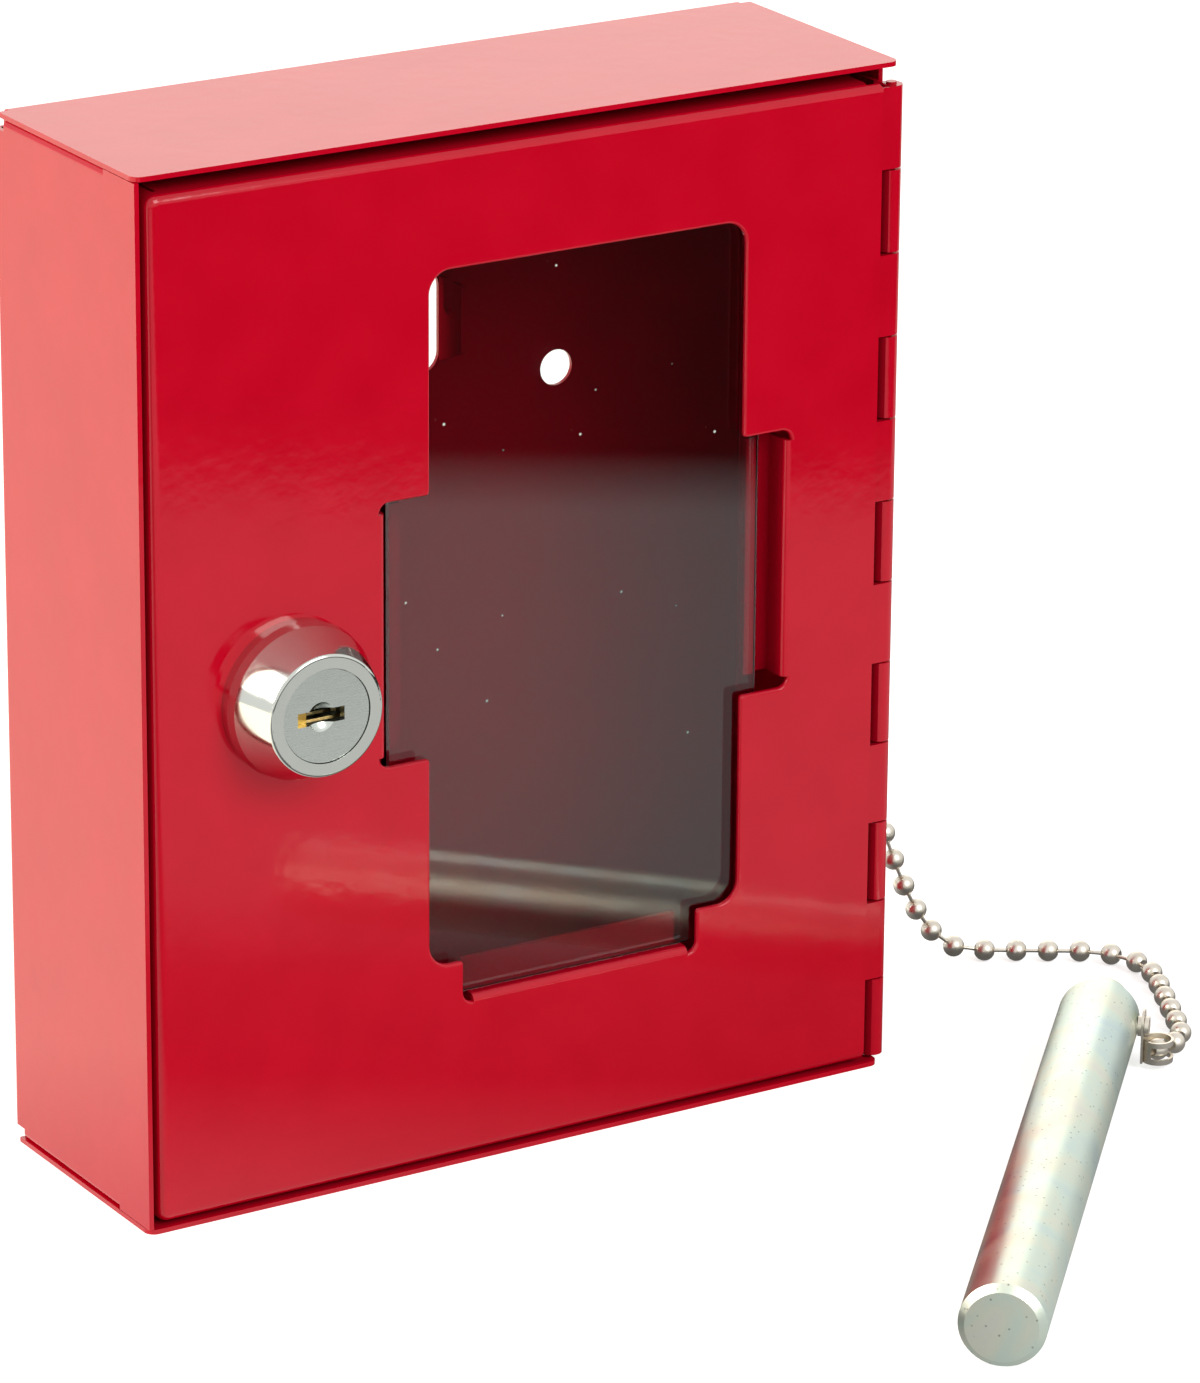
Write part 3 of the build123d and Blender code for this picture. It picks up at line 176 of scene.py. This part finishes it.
dress(
    powder_coat,
    "box_shell", "door_panel", "body_hinge_leaf", "door_hinge_leaf", "hinge_pin", "strike_bracket",
)
print("orange peel:", ORANGE_PEEL / MM, "mm")

# %% [markdown]
# The pane is two millimetres of plain float glass. It takes its look from what it reflects on both faces.
# A few specks of dust lie on it.

# %% Glass
DUST_SPACING = 7 * MM
DUST_SIZE = 0.16 * MM
DUST_EDGE = 1.6

pane_glass, tree, shader = new_material(
    "float_glass", Roughness=0.0, IOR=1.52, Transmission_Weight=1.0, Base_Color=linear("#F2F7F4"),
)
place = add(tree, "ShaderNodeTexCoord").outputs["Object"]
dust = add(tree, "ShaderNodeTexVoronoi", {"Vector": place, "Scale": 1 / DUST_SPACING})
speck = add(
    tree, "ShaderNodeValToRGB", {"Fac": dust.outputs["Distance"]},
    stops=[(DUST_SIZE / DUST_SPACING, 1.0), (DUST_EDGE * DUST_SIZE / DUST_SPACING, 0.0)],
)
dust_shader = add(tree, "ShaderNodeBsdfDiffuse", {"Color": linear("#D8D4CC")})
mix = add(tree, "ShaderNodeMixShader", {"Fac": speck.outputs["Color"]})
tree.links.new(shader.outputs["BSDF"], mix.inputs[1])
tree.links.new(dust_shader.outputs["BSDF"], mix.inputs[2])
tree.links.new(mix.outputs["Shader"], tree.nodes["Material Output"].inputs["Surface"])
dress(pane_glass, "glass_pane")

# %% [markdown]
# Bright chrome on the lock is a mirror with a little softness. The plug's face is ground flat after
# plating, so it is satin, with very fine straight scratches. A metal keeps Blender's default IOR.

# %% Chrome
chrome, tree, shader = new_material("chrome_plate", Metallic=1.0, Base_Color=linear("#D6D9D1"))
place = add(tree, "ShaderNodeTexCoord").outputs["Object"]
CHROME_HAZE = 3 * MM
haze = add(tree, "ShaderNodeTexNoise", {"Vector": place, "Scale": 1 / CHROME_HAZE, "Detail": 4.0})
softness = add(
    tree, "ShaderNodeValToRGB", {"Fac": haze.outputs["Fac"]},
    stops=[(0.35, 0.06), (0.75, 0.16)],
)
tree.links.new(softness.outputs["Color"], shader.inputs["Roughness"])
dress(chrome, "lock_housing", "lock_nut")

GRINDING_LINE = 0.12 * MM
GRINDING_DEPTH = 0.004 * MM
satin_chrome, tree, shader = new_material("chrome_ground", Metallic=1.0, Base_Color=linear("#D3D9D2"))
place = add(tree, "ShaderNodeTexCoord").outputs["Object"]
stretch = add(tree, "ShaderNodeMapping", {"Vector": place, "Scale": (0.04, 1.0, 1.0)})
lines = add(tree, "ShaderNodeTexNoise", {"Vector": stretch.outputs["Vector"], "Scale": 1 / GRINDING_LINE})
line_bump = add(tree, "ShaderNodeBump", {"Height": lines.outputs["Fac"], "Distance": GRINDING_DEPTH})
tree.links.new(line_bump.outputs["Normal"], shader.inputs["Normal"])
softness = add(
    tree, "ShaderNodeValToRGB", {"Fac": lines.outputs["Fac"]},
    stops=[(0.3, 0.2), (0.8, 0.34)],
)
tree.links.new(softness.outputs["Color"], shader.inputs["Roughness"])
dress(satin_chrome, "lock_plug")

# %% [markdown]
# Zinc plate that has been passivated is not grey: a film thinner than a wavelength of light tints it pale
# green, straw and blue, in soft clouds. Handling leaves small dark pits, and the blank's grain shows.

# %% Passivated zinc
CLOUD = 11 * MM
PIT_SPACING = 1.3 * MM
GRAIN = 0.35 * MM
GRAIN_HEIGHT = 0.012 * MM

zinc, tree, shader = new_material("zinc_passivated", Metallic=1.0)
place = add(tree, "ShaderNodeTexCoord").outputs["Object"]
clouds = add(
    tree, "ShaderNodeTexNoise", {"Vector": place, "Scale": 1 / CLOUD, "Detail": 4.0, "Distortion": 0.6},
)
PALE_BLUE, PALE_GREEN = linear("#C8DCDB"), linear("#D7E6D9")
STRAW, PALE_GREY = linear("#E0E5D3"), linear("#DEDCD6")
tint = add(
    tree, "ShaderNodeValToRGB", {"Fac": clouds.outputs["Fac"]},
    stops=[(0.28, PALE_BLUE), (0.45, PALE_GREEN), (0.58, STRAW), (0.75, PALE_GREY)],
)
pits = add(tree, "ShaderNodeTexVoronoi", {"Vector": place, "Scale": 1 / PIT_SPACING})
pit_mask = add(
    tree, "ShaderNodeValToRGB", {"Fac": pits.outputs["Distance"]},
    stops=[(0.06, 0.45), (0.16, 1.0)],
)
colour = add(
    tree, "ShaderNodeMix", {"Factor": 1.0, "A": tint.outputs["Color"], "B": pit_mask.outputs["Color"]},
    data_type="RGBA", blend_type="MULTIPLY",
)
tree.links.new(colour.outputs["Result"], shader.inputs["Base Color"])
softness = add(
    tree, "ShaderNodeValToRGB", {"Fac": clouds.outputs["Fac"]},
    stops=[(0.3, 0.3), (0.7, 0.42)],
)
tree.links.new(softness.outputs["Color"], shader.inputs["Roughness"])
grain = add(tree, "ShaderNodeTexNoise", {"Vector": place, "Scale": 1 / GRAIN, "Detail": 5.0})
grain_bump = add(tree, "ShaderNodeBump", {"Height": grain.outputs["Fac"], "Distance": GRAIN_HEIGHT})
tree.links.new(grain_bump.outputs["Normal"], shader.inputs["Normal"])
dress(zinc, "hammer_rod", "lock_washer", "stop_washer", "lock_cam", "cam_screw", "cam_screw_washer")

# %% [markdown]
# The chain and its couplings are nickel plated brass: warmer than chrome and a little duller, with a haze
# from handling.

# %% Nickel, brass and spring wire
NICKEL_HAZE = 1.2 * MM
TARNISH = 0.8 * MM
DRAW_MARK = 0.3 * MM

nickel, tree, shader = new_material("nickel_plate", Metallic=1.0)
place = add(tree, "ShaderNodeTexCoord").outputs["Object"]
haze = add(tree, "ShaderNodeTexNoise", {"Vector": place, "Scale": 1 / NICKEL_HAZE, "Detail": 3.0})
colour = add(
    tree, "ShaderNodeValToRGB", {"Fac": haze.outputs["Fac"]},
    stops=[(0.3, linear("#EAE3D6")), (0.7, linear("#D9D1C3"))],
)
tree.links.new(colour.outputs["Color"], shader.inputs["Base Color"])
softness = add(
    tree, "ShaderNodeValToRGB", {"Fac": haze.outputs["Fac"]},
    stops=[(0.3, 0.26), (0.7, 0.38)],
)
tree.links.new(softness.outputs["Color"], shader.inputs["Roughness"])
dress(nickel, "hammer_coupling", "wall_coupling", "wall_rivet", "coupling_pin")

brass, tree, shader = new_material("brass_stamped", Metallic=1.0, Roughness=0.3)
place = add(tree, "ShaderNodeTexCoord").outputs["Object"]
tarnish = add(tree, "ShaderNodeTexNoise", {"Vector": place, "Scale": 1 / TARNISH, "Detail": 3.0})
colour = add(
    tree, "ShaderNodeValToRGB", {"Fac": tarnish.outputs["Fac"]},
    stops=[(0.3, linear("#D9B45E")), (0.7, linear("#B98C3C"))],
)
tree.links.new(colour.outputs["Color"], shader.inputs["Base Color"])
dress(brass, "lock_wafers")

spring_wire, tree, shader = new_material("spring_steel_wire", Metallic=1.0, Roughness=0.3)
place = add(tree, "ShaderNodeTexCoord").outputs["Object"]
draw_marks = add(tree, "ShaderNodeTexNoise", {"Vector": place, "Scale": 1 / DRAW_MARK})
colour = add(
    tree, "ShaderNodeValToRGB", {"Fac": draw_marks.outputs["Fac"]},
    stops=[(0.3, linear("#9A9B9D")), (0.7, linear("#B9BABB"))],
)
tree.links.new(colour.outputs["Color"], shader.inputs["Base Color"])
dress(spring_wire, "wafer_springs")

# %% [markdown]
# A bead chain is hollow balls on short dumb-bell rods. It bends freely between balls, so its line is one
# smooth curve: down from the rivet in the right wall, out across the table and round into the bar's
# coupling. The route's control points are the corners of the CAD route. The balls are then spaced evenly
# along the curve that Blender makes of them.

# %% Chain route
BALL_RADIUS = 1.6 * MM
BALL_COUNT = 35
WALL_BALL = (0.0624, 0.009, 0.092)
HAMMER_BALL = (0.094498, -0.040999, 0.0026)
ROUTE = [
    WALL_BALL,
    (0.0652, 0.0091, 0.078),
    (0.0712, 0.0094, 0.052),
    (0.0788, 0.0097, 0.026),
    (0.0848, 0.0090, 0.010),
    (0.0916, 0.0088, 0.0017),
    (0.0983, 0.0047, 0.0016),
    (0.1167, -0.0068, 0.0016),
    (0.1062, -0.0284, 0.0016),
    (0.1009, -0.0394, 0.00175),
    HAMMER_BALL,
]


def nurbs_line(name, points):
    """The points along a smooth NURBS curve through the two ends of its control points."""
    curve = bpy.data.curves.new(name, "CURVE")
    curve.dimensions = "3D"
    curve.resolution_u = 40
    spline = curve.splines.new("NURBS")
    spline.points.add(len(points) - 1)
    for point, place in zip(spline.points, points):
        point.co = (*place, 1.0)
    spline.order_u = 3
    spline.use_endpoint_u = True
    holder = bpy.data.objects.new(name, curve)
    mesh = bpy.data.meshes.new_from_object(holder)
    line = [v.co.copy() for v in mesh.vertices]
    bpy.data.objects.remove(holder)
    bpy.data.meshes.remove(mesh)
    return line


def evenly(line, count):
    """Points that divide a line into equal lengths, its two ends among them."""
    steps = [(b - a).length for a, b in zip(line, line[1:])]
    total = sum(steps)
    places, index, walked = [], 0, 0.0
    for i in range(count):
        goal = total * i / (count - 1)
        while index < len(steps) - 1 and walked + steps[index] < goal:
            walked += steps[index]
            index += 1
        places.append(line[index].lerp(line[index + 1], min(1.0, (goal - walked) / steps[index])))
    return places, total


chain_line = nurbs_line("chain_route", ROUTE)
ball_places, chain_length = evenly(chain_line, BALL_COUNT)
pitch = chain_length / (BALL_COUNT - 1)
print("chain:", round(chain_length / MM, 1), "mm, pitch", round(pitch / MM, 2), "mm")

# %% [markdown]
# Each ball is turned like wood on a lathe: a profile spun round the chain's direction. Its two ends are
# drawn in to small mouths, from which the rods come out, so a ball isn't a plain sphere.

# %% Chain balls and rods
MOUTH_RADIUS = 0.62 * MM
MOUTH_INSET = 0.25 * MM
MOUTH_NARROWING = 0.82
ROD_RADIUS = 0.3 * MM
ROD_END_RADIUS = 0.9 * ROD_RADIUS
ROD_WAIST_RADIUS = 0.94 * ROD_RADIUS
ROD_END = 0.2 * MM
ROD_START = BALL_RADIUS - 0.5 * MM
SIDES = 32
ROD_SIDES = 12


def turned(mesh, profile, start, way, sides=SIDES):
    """Adds to a bmesh the surface that a profile of (distance along, radius) makes round a line."""
    along = way.normalized()
    side = along.orthogonal().normalized()
    other = along.cross(side)
    rings = []
    for distance, radius in profile:
        ring = []
        for i in range(sides):
            angle = 2 * math.pi * i / sides
            out = side * math.cos(angle) + other * math.sin(angle)
            ring.append(mesh.verts.new(start + along * distance + out * radius))
        rings.append(ring)
    for first, second in zip(rings, rings[1:]):
        for i in range(sides):
            j = (i + 1) % sides
            mesh.faces.new((first[i], first[j], second[j], second[i]))
    mesh.faces.new(reversed(rings[0]))
    mesh.faces.new(rings[-1])


def ball_profile():
    """Half a circle with a rolled-in mouth at each end."""
    mouth = math.asin(MOUTH_RADIUS / BALL_RADIUS)
    steps = 18
    arc = []
    for i in range(steps + 1):
        angle = mouth + (math.pi - 2 * mouth) * i / steps
        arc.append((-BALL_RADIUS * math.cos(angle), BALL_RADIUS * math.sin(angle)))
    first = (arc[0][0] + MOUTH_INSET, MOUTH_RADIUS * MOUTH_NARROWING)
    last = (arc[-1][0] - MOUTH_INSET, MOUTH_RADIUS * MOUTH_NARROWING)
    return [first] + arc + [last]


def object_from(mesh, name, material, body):
    """Turns a bmesh into a smooth-shaded object that rides on a body."""
    bmesh.ops.recalc_face_normals(mesh, faces=mesh.faces)
    data = bpy.data.meshes.new(name)
    mesh.to_mesh(data)
    mesh.free()
    for polygon in data.polygons:
        polygon.use_smooth = True
    data.materials.append(material)
    piece = bpy.data.objects.new(name, data)
    bpy.context.scene.collection.objects.link(piece)
    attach(piece, body)
    return piece


chain_mesh = bmesh.new()
for i, place in enumerate(ball_places):
    before = ball_places[max(i - 1, 0)]
    after = ball_places[min(i + 1, BALL_COUNT - 1)]
    turned(chain_mesh, ball_profile(), place, after - before)
for a, b in zip(ball_places, ball_places[1:]):
    span = (b - a).length
    rod_end = span - ROD_START
    rod = [
        (ROD_START, ROD_END_RADIUS),
        (ROD_START + ROD_END, ROD_RADIUS),
        (span / 2, ROD_WAIST_RADIUS),
        (rod_end - ROD_END, ROD_RADIUS),
        (rod_end, ROD_END_RADIUS),
    ]
    turned(chain_mesh, rod, a, b - a, sides=ROD_SIDES)
chain = object_from(chain_mesh, "bead_chain", nickel, "box")
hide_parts("chain_balls", "chain_links")
print("balls:", BALL_COUNT)

# %% [markdown]
# The table is a wide white sweep. The camera sees it pure white with a soft shadow under the box. A
# mirror-like surface sees instead a painted reflection set by place: painted light behind and beside the
# box, a painted shadow close to the door, where the box would keep the light off, brighter farther out, and
# dark beyond, where the studio begins.

# %% Floor
FLOOR_SIZE = 6.0
FLOOR_DROP = 0.02 * MM

floor_mesh = bmesh.new()
bmesh.ops.create_grid(floor_mesh, x_segments=2, y_segments=2, size=FLOOR_SIZE / 2)
floor_data = bpy.data.meshes.new("floor")
floor_mesh.to_mesh(floor_data)
floor_mesh.free()
floor = bpy.data.objects.new("floor", floor_data)
floor.location.z = -FLOOR_DROP
bpy.context.scene.collection.objects.link(floor)

paper = bpy.data.materials.new("white_sweep")
paper.use_nodes = True
tree = paper.node_tree
tree.nodes.remove(tree.nodes["Principled BSDF"])
place = add(tree, "ShaderNodeTexCoord").outputs["Object"]
split = add(tree, "ShaderNodeSeparateXYZ", {"Vector": place})
# Distance in front of the door, measured square to the studio's own axis, which the box stands askew to.
ASKEW = 0.65
front = add(tree, "ShaderNodeMath", {0: split.outputs["X"], 1: ASKEW}, operation="MULTIPLY")
front = add(tree, "ShaderNodeMath", {0: front.outputs[0], 1: split.outputs["Y"]}, operation="SUBTRACT")
# Metres in front of the door, and how bright a mirror sees the table there: painted light and painted
# shadow.
WARM_BRIGHT = (1.9, 1.8, 1.5, 1.0)
BANDS = [
    (-0.10, WARM_BRIGHT), (0.0, 0.8), (0.05, 0.12), (0.10, 0.2), (0.14, 0.7), (0.36, 0.68), (0.40, 0.02),
]
SPAN = 1.0
share = add(
    tree, "ShaderNodeMapRange", {"Value": front.outputs[0], "From Min": -SPAN / 2, "From Max": SPAN / 2},
)
brightness = add(
    tree, "ShaderNodeValToRGB", {"Fac": share.outputs["Result"]},
    stops=[(0.5 + distance / SPAN, light) for distance, light in BANDS],
)
seen = add(tree, "ShaderNodeLightPath")
# Light that the pane's rear face sends back leaves it as a transmission ray, so only the floor behind the
# box is white through the glass. In front of it the pane sees what a mirror sees.
through_glass = seen.outputs["Is Transmission Ray"]
behind = add(tree, "ShaderNodeMath", {0: front.outputs[0], 1: 0.0}, operation="LESS_THAN")
white_through = add(tree, "ShaderNodeMath", {0: through_glass, 1: behind.outputs[0]}, operation="MULTIPLY")
white_for = add(
    tree, "ShaderNodeMath", {0: seen.outputs["Is Camera Ray"], 1: white_through.outputs[0]},
    operation="MAXIMUM",
)
mirror_for = add(
    tree, "ShaderNodeMath", {0: seen.outputs["Is Glossy Ray"], 1: through_glass}, operation="MAXIMUM",
)
OWN_WHITE = 0.62
lit = add(tree, "ShaderNodeBsdfDiffuse", {"Color": linear("#EDEDED")})
white = add(tree, "ShaderNodeEmission", {"Color": linear("#FFFFFF"), "Strength": OWN_WHITE})
white_lit = add(tree, "ShaderNodeAddShader")
tree.links.new(lit.outputs[0], white_lit.inputs[0])
tree.links.new(white.outputs[0], white_lit.inputs[1])
# Painted reflection: glossy rays see this emission by place, not the lit table.
floor_painted_reflection = add(tree, "ShaderNodeEmission", {"Color": brightness.outputs["Color"]})
for_glossy = add(tree, "ShaderNodeMixShader", {"Fac": mirror_for.outputs[0]})
tree.links.new(lit.outputs[0], for_glossy.inputs[1])
tree.links.new(floor_painted_reflection.outputs[0], for_glossy.inputs[2])
surface = add(tree, "ShaderNodeMixShader", {"Fac": white_for.outputs[0]})
tree.links.new(for_glossy.outputs[0], surface.inputs[1])
tree.links.new(white_lit.outputs[0], surface.inputs[2])
tree.links.new(surface.outputs[0], tree.nodes["Material Output"].inputs["Surface"])
floor_data.materials.append(paper)

# %% [markdown]
# The light is what a product studio uses: a wide soft light from the left, one from above and behind that
# puts the sheen on the top, and a weak fill from the front. Soft lights are large, so their shadows have
# no hard edge. The world is a pale room.

# %% Lights
def soft_light(name, place, aim, size, power, colour="#FFFFFF"):
    """A wide area lamp that points at aim and that the camera doesn't see."""
    data = bpy.data.lights.new(name, "AREA")
    data.color = linear(colour)[:3]
    data.shape = "RECTANGLE"
    data.size, data.size_y = size
    data.energy = power
    lamp = bpy.data.objects.new(name, data)
    lamp.location = place
    lamp.rotation_euler = (Vector(aim) - Vector(place)).to_track_quat("-Z", "Y").to_euler()
    lamp.visible_camera = False
    bpy.context.scene.collection.objects.link(lamp)


MIDDLE = (0, 0, 0.075)
soft_light("left_light", (-1.3, 0.2, 0.9), MIDDLE, (1.0, 1.0), 18, "#FFF1E4")
soft_light("back_light", (0.75, 1.25, 0.62), MIDDLE, (1.3, 0.8), 2.8, "#FFEAD8")
soft_light("front_light", (0.35, -1.5, 1.1), MIDDLE, (0.9, 0.9), 15)

world = bpy.data.worlds.new("pale_room")
bpy.context.scene.world = world
world.use_nodes = True
tree = world.node_tree
background = tree.nodes["Background"]
# A diffuse surface gets ROOM_LIGHT, a mirror-like one sees ROOM_SHINE, the camera and glass see white.
ROOM_LIGHT = 0.45
ROOM_SHINE = 0.95
seen = add(tree, "ShaderNodeLightPath")
see_white = add(
    tree, "ShaderNodeMath", {0: seen.outputs["Is Camera Ray"], 1: seen.outputs["Is Transmission Ray"]},
    operation="MAXIMUM",
)
shine = add(
    tree, "ShaderNodeMapRange",
    {"Value": seen.outputs["Is Glossy Ray"], "To Min": ROOM_LIGHT, "To Max": ROOM_SHINE},
)
room = add(
    tree, "ShaderNodeMix", {"Factor": see_white.outputs[0], "A": shine.outputs["Result"], "B": 1.0},
    data_type="FLOAT",
)
tree.links.new(room.outputs["Result"], background.inputs["Strength"])
background.inputs["Color"].default_value = linear("#FFFFFF")

bpy.context.scene.view_settings.view_transform = "Standard"
